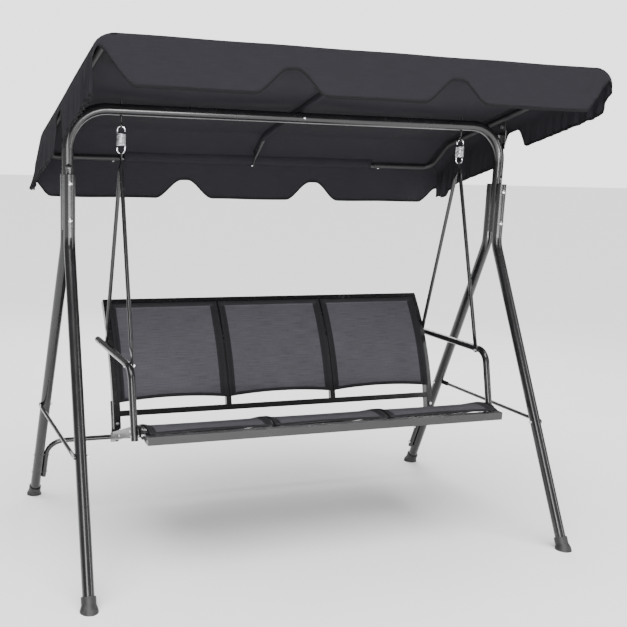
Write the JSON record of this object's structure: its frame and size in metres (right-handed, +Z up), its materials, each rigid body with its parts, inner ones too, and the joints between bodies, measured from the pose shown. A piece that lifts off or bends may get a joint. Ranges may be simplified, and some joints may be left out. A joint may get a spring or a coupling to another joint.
{
  "type": "canopy swing bench",
  "caption": "Free-standing patio swing: a sling bench hung on coil springs and rods from a tubular A-leg stand, under a tilting scalloped canopy.",
  "frame": {"origin": "on the floor, halfway between the four feet", "axes": "+X across the bench to the sitter's left, which is the right-hand side seen from the front; +Y to the back; +Z up"},
  "size_m": [1.8, 1.1242, 1.6788],
  "materials": {
    "black_frame": "gloss black powder coat",
    "black_plastic": "satin moulded",
    "zinc": "bright zinc plate",
    "spring_steel": "bright zinc-plated wire",
    "sling_mesh": "grey PVC-coated open weave",
    "canopy_cloth": "charcoal woven polyester"
  },
  "bodies": {
    "stand": {"front_leg_left": "black_frame", "front_leg_right": "black_frame", "rear_leg_left": "black_frame", "rear_leg_right": "black_frame", "foot_front_left": "black_plastic", "foot_front_right": "black_plastic", "foot_rear_left": "black_plastic", "foot_rear_right": "black_plastic", "top_bar_left": "black_frame", "top_bar_right": "black_frame", "top_bar_screw": "zinc", "side_brace_left": "black_frame", "side_brace_right": "black_frame", "rear_crossbar_left": "black_frame", "rear_crossbar_right": "black_frame", "spring_hook_left": "black_frame", "spring_hook_right": "black_frame", "canopy_bracket_left": "black_frame", "canopy_bracket_right": "black_frame", "stand_bolts": "zinc"},
    "springs": {"spring_left": "spring_steel", "spring_right": "spring_steel"},
    "bench": {"hanger_front_left": "black_frame", "hanger_front_right": "black_frame", "hanger_rear_left": "black_frame", "hanger_rear_right": "black_frame", "armrest_left": "black_frame", "armrest_right": "black_frame", "armrest_plugs": "black_plastic", "armrest_bolts": "zinc", "seat_bracket_left": "black_frame", "seat_bracket_right": "black_frame", "seat_bolts": "zinc", "seat_front_rail": "black_frame", "seat_rear_rail": "black_frame", "seat_side_rail_left": "black_frame", "seat_side_rail_right": "black_frame", "seat_slat_left": "black_frame", "seat_slat_right": "black_frame", "back_side_rail_left": "black_frame", "back_side_rail_right": "black_frame", "back_top_rail": "black_frame", "back_bottom_rail": "black_frame", "back_slat_left": "black_frame", "back_slat_right": "black_frame", "back_panel_left": "sling_mesh", "back_panel_middle": "sling_mesh", "back_panel_right": "sling_mesh", "seat_panel_left": "sling_mesh", "seat_panel_middle": "sling_mesh", "seat_panel_right": "sling_mesh"},
    "canopy": {"canopy_side_bar_left": "black_frame", "canopy_side_bar_right": "black_frame", "canopy_front_bar": "black_frame", "canopy_rear_bar": "black_frame", "canopy_center_bar": "black_frame", "canopy_screws": "zinc", "canopy_pivot_bolts": "zinc", "canopy_cover": "canopy_cloth"}
  },
  "joints": [
    {"name": "swing", "type": "hinge", "parent": "stand", "child": "springs", "pos_m": [0, 0, 1.4473], "axis": [1, 0, 0], "range_deg": [-25, 25]},
    {"name": "bounce", "type": "slide", "parent": "springs", "child": "bench", "axis": [0, 0, -1], "range_m": [0, 0.03], "stiffness_N_per_m": 38000, "springref_m": -0.0036, "deforming": ["spring_left", "spring_right"]},
    {"name": "canopy_tilt", "type": "hinge", "parent": "stand", "child": "canopy", "pos_m": [0, 0, 1.5], "axis": [1, 0, 0], "range_deg": [-10, 35]}
  ]
}
